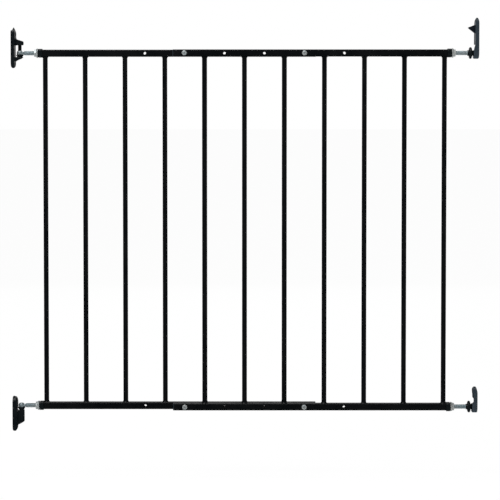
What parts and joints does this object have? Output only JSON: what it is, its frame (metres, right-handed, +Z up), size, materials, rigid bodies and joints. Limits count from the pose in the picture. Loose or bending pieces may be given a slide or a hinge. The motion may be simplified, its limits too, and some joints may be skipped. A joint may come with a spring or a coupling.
{
  "type": "safety baby gate",
  "caption": "Wall-mounted telescoping steel stair gate that lifts out of its latch slots and swings open on hinge pins.",
  "frame": {"origin": "centre of the lower hinge bracket's back face, on the hinge wall", "axes": "+X from the hinge wall to the latch wall, -Y towards the room, +Z up"},
  "size_m": [0.8654, 0.0379, 0.7709],
  "materials": {
    "powder_coat": "semi-gloss black powder coat",
    "black_plastic": "satin black moulded plastic",
    "slate_plastic": "semi-gloss blue-black moulded plastic",
    "zinc": "bright zinc-plated steel"
  },
  "bodies": {
    "wall_brackets": {"upper_hinge_bracket": "black_plastic", "lower_hinge_bracket": "black_plastic", "upper_hinge_pin": "powder_coat", "lower_hinge_pin": "powder_coat", "upper_latch_bracket": "slate_plastic", "lower_latch_bracket": "slate_plastic"},
    "lock_slide": {"lock_slider": "slate_plastic"},
    "hinge_bushes": {"upper_hinge_bush": "black_plastic", "lower_hinge_bush": "black_plastic"},
    "gate": {"hinge_panel_top_rail": "powder_coat", "hinge_panel_bottom_rail": "powder_coat", "hinge_panel_bar_1": "powder_coat", "hinge_panel_bar_2": "powder_coat", "hinge_panel_bar_3": "powder_coat", "hinge_panel_bar_4": "powder_coat", "hinge_panel_bar_5": "powder_coat", "hinge_panel_bar_6": "powder_coat", "hinge_panel_bar_7": "powder_coat", "hinge_top_rail_insert": "black_plastic", "hinge_bottom_rail_insert": "black_plastic", "hinge_top_end_plug": "black_plastic", "hinge_bottom_end_plug": "black_plastic", "latch_panel_top_rail": "powder_coat", "latch_panel_bottom_rail": "powder_coat", "latch_panel_bar_1": "powder_coat", "latch_panel_bar_2": "powder_coat", "latch_panel_bar_3": "powder_coat", "latch_panel_bar_4": "powder_coat", "latch_panel_bar_5": "powder_coat", "latch_panel_bar_6": "powder_coat", "latch_panel_bar_7": "powder_coat", "latch_top_rail_insert": "black_plastic", "latch_bottom_rail_insert": "black_plastic", "latch_top_end_plug": "black_plastic", "latch_bottom_end_plug": "black_plastic", "upper_eye_bolt": "zinc", "lower_eye_bolt": "zinc", "top_clamp_bolt_1": "zinc", "top_clamp_bolt_2": "zinc", "top_clamp_nut_1": "zinc", "top_clamp_nut_2": "zinc", "bottom_clamp_bolt_1": "zinc", "bottom_clamp_bolt_2": "zinc", "bottom_clamp_nut_1": "zinc", "bottom_clamp_nut_2": "zinc"},
    "upper_latch_bolt": {"upper_latch_rod": "zinc", "upper_catch_head": "black_plastic"},
    "lower_latch_bolt": {"lower_latch_rod": "zinc", "lower_catch_head": "black_plastic"},
    "hinge_top_lock_nut": {"hinge_top_lock_nut": "zinc"},
    "hinge_bottom_lock_nut": {"hinge_bottom_lock_nut": "zinc"},
    "latch_top_lock_nut": {"latch_top_lock_nut": "zinc"},
    "latch_bottom_lock_nut": {"latch_bottom_lock_nut": "zinc"}
  },
  "joints": [
    {"name": "gate_lift", "type": "slide", "parent": "wall_brackets", "child": "hinge_bushes", "axis": [0, 0, 1], "range_m": [0, 0.0093]},
    {"name": "gate_swing", "type": "hinge", "parent": "hinge_bushes", "child": "gate", "pos_m": [0.0155, 0, 0.015], "axis": [0, 0, 1], "range_deg": [0, 90]},
    {"name": "lock_travel", "type": "slide", "parent": "wall_brackets", "child": "lock_slide", "axis": [0, 0, 1], "range_m": [-0.012, 0]},
    {"name": "upper_latch_reach", "type": "slide", "parent": "gate", "child": "upper_latch_bolt", "axis": [1, 0, 0], "range_m": [-0.02, 0]},
    {"name": "lower_latch_reach", "type": "slide", "parent": "gate", "child": "lower_latch_bolt", "axis": [1, 0, 0], "range_m": [-0.02, 0]},
    {"name": "hinge_top_nut_spin", "type": "hinge", "parent": "gate", "child": "hinge_top_lock_nut", "pos_m": [0.3, 0, 0.6725], "axis": [1, 0, 0], "continuous": true},
    {"name": "hinge_bottom_nut_spin", "type": "hinge", "parent": "gate", "child": "hinge_bottom_lock_nut", "pos_m": [0.3, 0, 0.015], "axis": [1, 0, 0], "continuous": true},
    {"name": "latch_top_nut_spin", "type": "hinge", "parent": "gate", "child": "latch_top_lock_nut", "pos_m": [0.3, -0.0134, 0.6725], "axis": [1, 0, 0], "continuous": true},
    {"name": "latch_bottom_nut_spin", "type": "hinge", "parent": "gate", "child": "latch_bottom_lock_nut", "pos_m": [0.3, -0.0134, 0.015], "axis": [1, 0, 0], "continuous": true}
  ]
}
